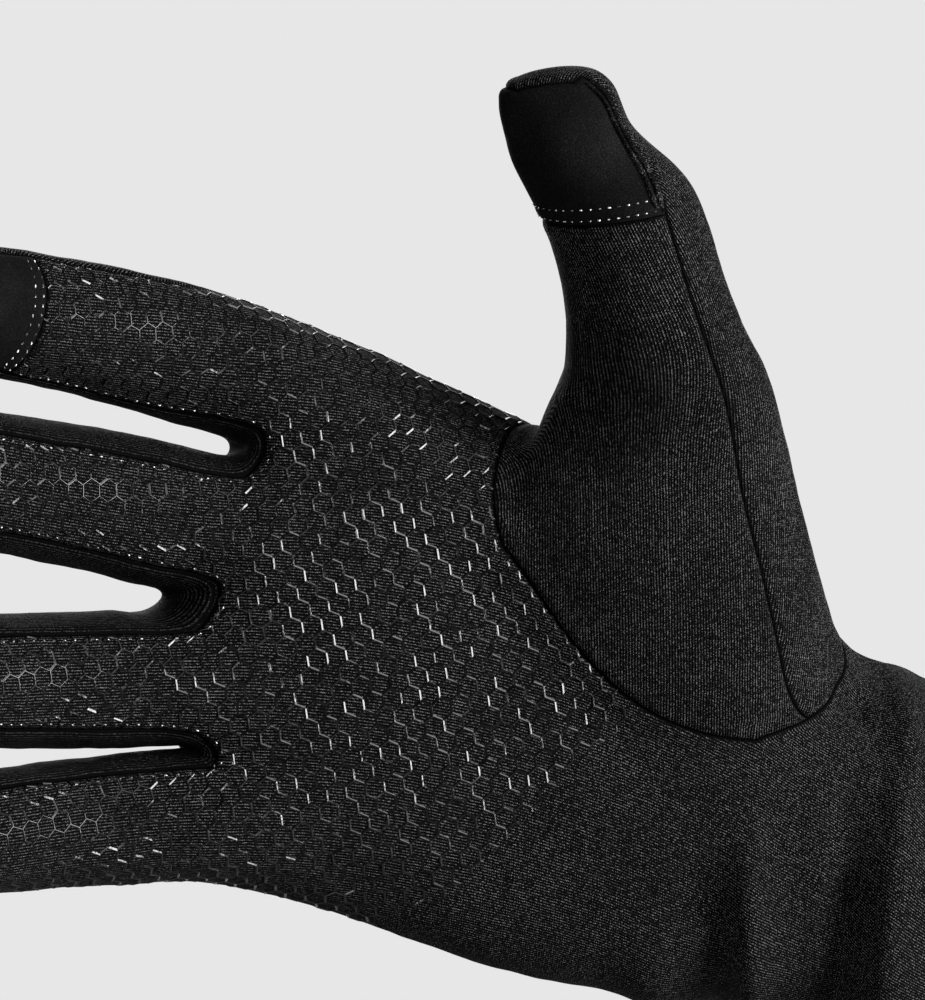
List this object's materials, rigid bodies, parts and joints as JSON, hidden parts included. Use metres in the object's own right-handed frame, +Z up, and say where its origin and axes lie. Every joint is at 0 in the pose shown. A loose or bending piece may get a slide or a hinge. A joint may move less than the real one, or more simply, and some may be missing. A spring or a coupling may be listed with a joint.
{
  "type": "stretch sports glove",
  "caption": "Right-hand stretch knit glove in its worn pose, with a honeycomb grip palm, a set-in thumb, touch patches and an open cuff",
  "frame": {"origin": "the middle of the cuff's opening, where the glove goes on over the wrist", "axes": "X from the fingertips to the cuff, the longest extent; Y from the palm side to the back of the hand; Z up to the thumb"},
  "size_m": [0.2082, 0.1207, 0.1662],
  "materials": {
    "knit": "matt black stretch knit with fine ribs",
    "touch_patch": "suede-like black, very matt",
    "grip_print": "glossy black silicone lines printed on the knit"
  },
  "bodies": {
    "root": {"palm_panel": "knit", "back_panel": "knit", "fourchette_index_middle": "knit", "fourchette_middle_ring": "knit", "fourchette_ring_little": "knit", "thumb_front_panel": "knit", "thumb_back_panel": "knit", "thumb_touch_patch": "touch_patch", "index_touch_patch": "touch_patch", "cuff_hem": "knit"}
  },
  "joints": []
}
